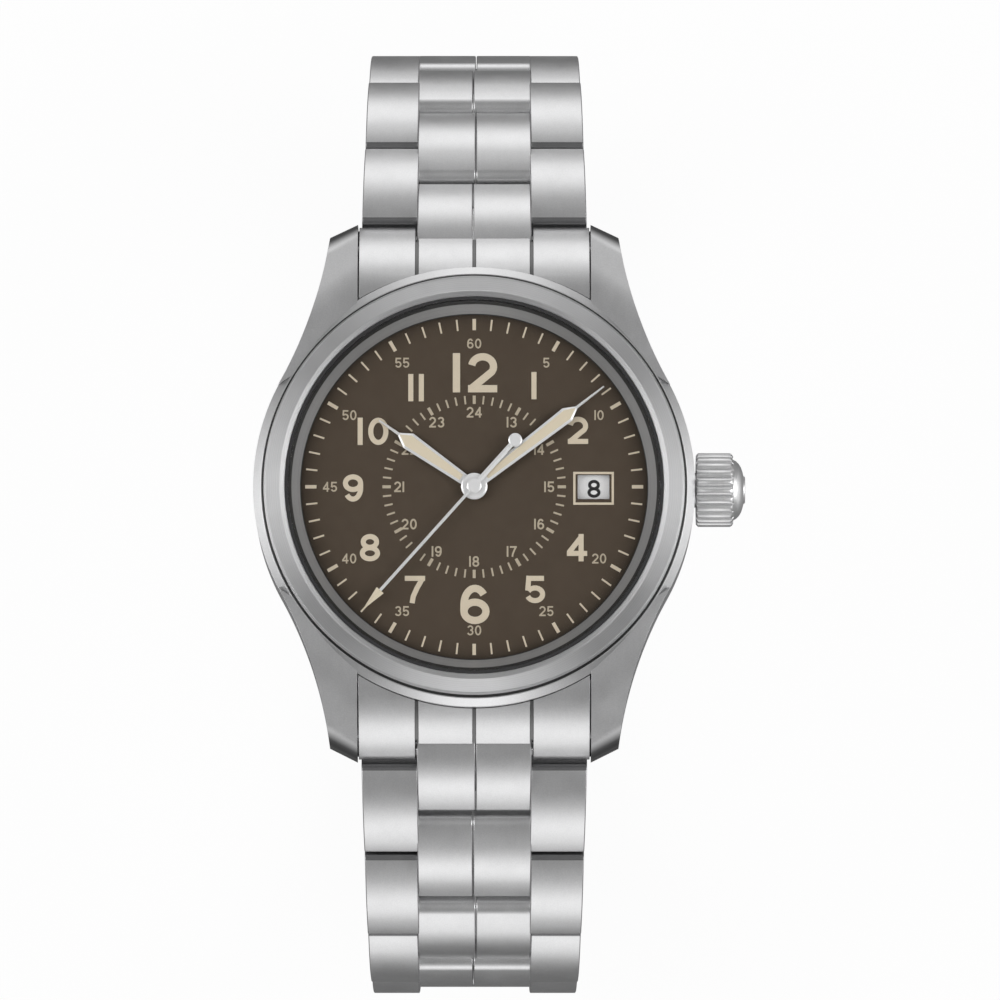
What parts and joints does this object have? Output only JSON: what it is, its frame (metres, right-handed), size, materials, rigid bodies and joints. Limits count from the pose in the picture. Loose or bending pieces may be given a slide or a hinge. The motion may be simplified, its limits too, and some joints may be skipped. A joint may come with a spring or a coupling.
{
  "type": "field watch",
  "caption": "Field watch in a satin steel case with long lugs, a dark brown dial, a date window and a closed steel link bracelet with a folding clasp.",
  "frame": {"origin": "centre of the case back's flat outer face, on the dial's axis", "axes": "+Z out of the dial, +Y to 12 o'clock, +X to the crown"},
  "size_m": [0.0423, 0.083, 0.0567],
  "materials": {
    "case_steel": "fine bead-blasted stainless steel",
    "bezel_steel": "circular brushed stainless steel",
    "link_steel": "satin stainless steel",
    "bar_steel": "drawn steel wire",
    "crystal": "clear flat sapphire glass",
    "seal": "black rubber",
    "rehaut": "satin dark grey ring",
    "dial": "matt dark brown lacquer",
    "date_white": "printed white",
    "movement_brass": "plain brass",
    "movement_plastic": "moulded holder",
    "battery_steel": "plated cell can",
    "copper": "enamelled copper wire",
    "hand_steel": "polished, with cream luminous insets"
  },
  "bodies": {
    "head": {"case": "case_steel", "case_back": "case_steel", "back_gasket": "seal", "bezel": "bezel_steel", "crystal_gasket": "seal", "crystal": "crystal", "rehaut": "rehaut", "dial": "dial", "main_plate": "movement_brass", "movement_holder": "movement_plastic", "train_bridge": "movement_brass", "battery": "battery_steel", "coil": "copper", "stator": "bar_steel", "crown_tube": "bar_steel", "end_link_12": "link_steel", "end_link_6": "link_steel", "spring_bars": "bar_steel"},
    "date": {"date_disc": "date_white"},
    "minute": {"minute_hand": "hand_steel", "cannon_pinion": "movement_brass"},
    "motion_wheel": {"minute_wheel": "movement_brass"},
    "hour": {"hour_hand": "hand_steel", "hour_wheel": "movement_brass"},
    "seconds": {"seconds_hand": "hand_steel", "seconds_wheel": "movement_brass"},
    "intermediate": {"intermediate_wheel": "movement_brass"},
    "rotor": {"rotor": "bar_steel"},
    "crown_slider": {"crown_seal": "seal"},
    "crown": {"crown": "case_steel", "stem": "bar_steel"},
    "row_12_1": {"link_12_1": "link_steel"},
    "row_12_2": {"link_12_2": "link_steel"},
    "row_12_3": {"link_12_3": "link_steel"},
    "row_12_4": {"link_12_4": "link_steel"},
    "row_12_5": {"link_12_5": "link_steel"},
    "row_12_6": {"link_12_6": "link_steel"},
    "row_12_7": {"link_12_7": "link_steel"},
    "row_6_1": {"link_6_1": "link_steel"},
    "row_6_2": {"link_6_2": "link_steel"},
    "row_6_3": {"link_6_3": "link_steel"},
    "row_6_4": {"link_6_4": "link_steel"},
    "row_6_5": {"link_6_5": "link_steel"},
    "row_6_6": {"link_6_6": "link_steel"},
    "row_6_7": {"link_6_7": "link_steel"},
    "cover": {"clasp_cover": "link_steel", "clasp_spring_bar": "bar_steel", "cover_hinge_pin": "bar_steel"},
    "upper_blade": {"upper_blade": "link_steel", "blade_hinge_pin": "bar_steel"},
    "lower_blade": {"lower_blade": "link_steel", "end_pin": "bar_steel"},
    "button_right": {"push_button_right": "link_steel"},
    "button_left": {"push_button_left": "link_steel"}
  },
  "joints": [
    {"name": "minute_turn", "type": "hinge", "parent": "head", "child": "minute", "pos_m": [0, 0, 0.0074], "axis": [0, 0, -1], "continuous": true},
    {"name": "motion_wheel_turn", "type": "hinge", "parent": "head", "child": "motion_wheel", "pos_m": [-0.00205, -0.00205, 0.0074], "axis": [0, 0, -1], "continuous": true},
    {"name": "hour_turn", "type": "hinge", "parent": "head", "child": "hour", "pos_m": [0, 0, 0.0074], "axis": [0, 0, -1], "continuous": true},
    {"name": "seconds_turn", "type": "hinge", "parent": "head", "child": "seconds", "pos_m": [0, 0, 0.0074], "axis": [0, 0, -1], "continuous": true},
    {"name": "intermediate_turn", "type": "hinge", "parent": "head", "child": "intermediate", "pos_m": [-0.00168, 0.00291, 0.0074], "axis": [0, 0, -1], "continuous": true},
    {"name": "rotor_turn", "type": "hinge", "parent": "head", "child": "rotor", "pos_m": [-0.00446, 0.00366, 0.0074], "axis": [0, 0, -1], "continuous": true},
    {"name": "date_turn", "type": "hinge", "parent": "head", "child": "date", "pos_m": [0, 0, 0.0074], "axis": [0, 0, 1], "continuous": true},
    {"name": "crown_pull", "type": "slide", "parent": "head", "child": "crown_slider", "axis": [1, 0, 0], "range_m": [0, 0.001]},
    {"name": "crown_turn", "type": "hinge", "parent": "crown_slider", "child": "crown", "pos_m": [0, 0, 0.0047], "axis": [1, 0, 0], "continuous": true},
    {"name": "row_12_1_bend", "type": "hinge", "parent": "head", "child": "row_12_1", "pos_m": [0, 0.0208, 0.0029], "axis": [1, 0, 0], "range_deg": [0, 16]},
    {"name": "row_12_2_bend", "type": "hinge", "parent": "row_12_1", "child": "row_12_2", "pos_m": [0, 0.02825, -0.00232], "axis": [1, 0, 0], "range_deg": [0, 13]},
    {"name": "row_12_3_bend", "type": "hinge", "parent": "row_12_2", "child": "row_12_3", "pos_m": [0, 0.03502, -0.00841], "axis": [1, 0, 0], "range_deg": [0, 28]},
    {"name": "row_12_4_bend", "type": "hinge", "parent": "row_12_3", "child": "row_12_4", "pos_m": [0, 0.03901, -0.01659], "axis": [1, 0, 0], "range_deg": [0, 28]},
    {"name": "row_12_5_bend", "type": "hinge", "parent": "row_12_4", "child": "row_12_5", "pos_m": [0, 0.03964, -0.02567], "axis": [1, 0, 0], "range_deg": [0, 32]},
    {"name": "row_12_6_bend", "type": "hinge", "parent": "row_12_5", "child": "row_12_6", "pos_m": [0, 0.03623, -0.0341], "axis": [1, 0, 0], "range_deg": [0, 32]},
    {"name": "row_12_7_bend", "type": "hinge", "parent": "row_12_6", "child": "row_12_7", "pos_m": [0, 0.02947, -0.04019], "axis": [1, 0, 0], "range_deg": [0, 28]},
    {"name": "row_6_1_bend", "type": "hinge", "parent": "head", "child": "row_6_1", "pos_m": [0, -0.0208, 0.0029], "axis": [-1, 0, 0], "range_deg": [0, 16]},
    {"name": "row_6_2_bend", "type": "hinge", "parent": "row_6_1", "child": "row_6_2", "pos_m": [0, -0.02825, -0.00232], "axis": [-1, 0, 0], "range_deg": [0, 13]},
    {"name": "row_6_3_bend", "type": "hinge", "parent": "row_6_2", "child": "row_6_3", "pos_m": [0, -0.03502, -0.00841], "axis": [-1, 0, 0], "range_deg": [0, 28]},
    {"name": "row_6_4_bend", "type": "hinge", "parent": "row_6_3", "child": "row_6_4", "pos_m": [0, -0.03901, -0.01659], "axis": [-1, 0, 0], "range_deg": [0, 28]},
    {"name": "row_6_5_bend", "type": "hinge", "parent": "row_6_4", "child": "row_6_5", "pos_m": [0, -0.03964, -0.02567], "axis": [-1, 0, 0], "range_deg": [0, 32]},
    {"name": "row_6_6_bend", "type": "hinge", "parent": "row_6_5", "child": "row_6_6", "pos_m": [0, -0.03623, -0.0341], "axis": [-1, 0, 0], "range_deg": [0, 32]},
    {"name": "row_6_7_bend", "type": "hinge", "parent": "row_6_6", "child": "row_6_7", "pos_m": [0, -0.02947, -0.04019], "axis": [-1, 0, 0], "range_deg": [0, 28]},
    {"name": "cover_bend", "type": "hinge", "parent": "row_12_7", "child": "cover", "pos_m": [0, 0.02092, -0.0433], "axis": [1, 0, 0], "range_deg": [0, 20]},
    {"name": "upper_blade_open", "type": "hinge", "parent": "cover", "child": "upper_blade", "pos_m": [0, -0.01732, -0.0447], "axis": [1, 0, 0], "range_deg": [0, 115]},
    {"name": "lower_blade_open", "type": "hinge", "parent": "upper_blade", "child": "lower_blade", "pos_m": [0, 0.01492, -0.0442], "axis": [-1, 0, 0], "range_deg": [0, 110]},
    {"name": "button_right_press", "type": "slide", "parent": "cover", "child": "button_right", "axis": [-1, 0, 0], "range_m": [0, 0.0005], "stiffness_N_per_m": 1500},
    {"name": "button_left_press", "type": "slide", "parent": "cover", "child": "button_left", "axis": [1, 0, 0], "range_m": [0, 0.0005], "stiffness_N_per_m": 1500}
  ],
  "couplings": [
    {"joint": "motion_wheel_turn", "follows": "minute_turn", "ratio": -0.33333},
    {"joint": "hour_turn", "follows": "minute_turn", "ratio": 0.083333},
    {"joint": "intermediate_turn", "follows": "seconds_turn", "ratio": -6},
    {"joint": "rotor_turn", "follows": "seconds_turn", "ratio": 30}
  ]
}
